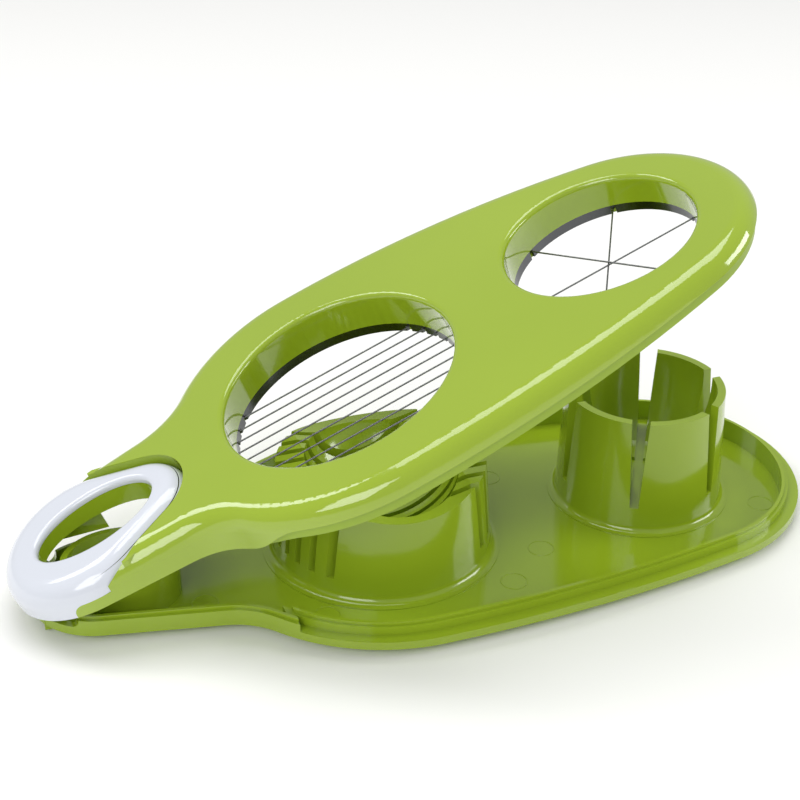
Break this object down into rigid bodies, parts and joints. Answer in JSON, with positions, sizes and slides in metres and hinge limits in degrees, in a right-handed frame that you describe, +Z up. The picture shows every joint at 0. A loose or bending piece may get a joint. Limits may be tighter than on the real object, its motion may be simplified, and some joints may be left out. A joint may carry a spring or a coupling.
{
  "type": "egg slicer",
  "caption": "Hinged egg slicer with a pear-shaped tray, a slotted slicing cradle, a slotted wedge cup and an arched lid that carries the cutting wires; hanging loop at the hinge end.",
  "frame": {"origin": "on the table plane, straight below the middle of the hinge axis", "axes": "+X from the hinge along the tray to its blunt end, +Z up from the table, Y along the hinge"},
  "size_m": [0.247, 0.1108, 0.1064],
  "materials": {
    "tray_plastic": "lime green, glossy",
    "lid_plastic": "lime green, high gloss",
    "frame_plastic": "lime green, satin",
    "loop_plastic": "pale grey-white, high gloss",
    "steel": "polished stainless"
  },
  "bodies": {
    "base": {"base_tray": "tray_plastic", "hanging_collar": "tray_plastic", "slicing_cradle": "tray_plastic", "wedge_cup": "tray_plastic", "hinge_pin": "steel"},
    "lid": {"lid_shell": "lid_plastic", "lid_frame": "frame_plastic", "hinge_loop": "loop_plastic", "slicer_ring": "steel", "slicer_wire": "steel", "slicer_retainer": "frame_plastic", "wedge_ring": "steel", "wedge_wire_1": "steel", "wedge_wire_2": "steel", "wedge_wire_3": "steel", "wedge_retainer": "frame_plastic"}
  },
  "joints": [
    {"name": "lid_hinge", "type": "hinge", "parent": "base", "child": "lid", "pos_m": [0, 0, 0.0073], "axis": [0, -1, 0], "range_deg": [-22.4, 37.6]}
  ]
}
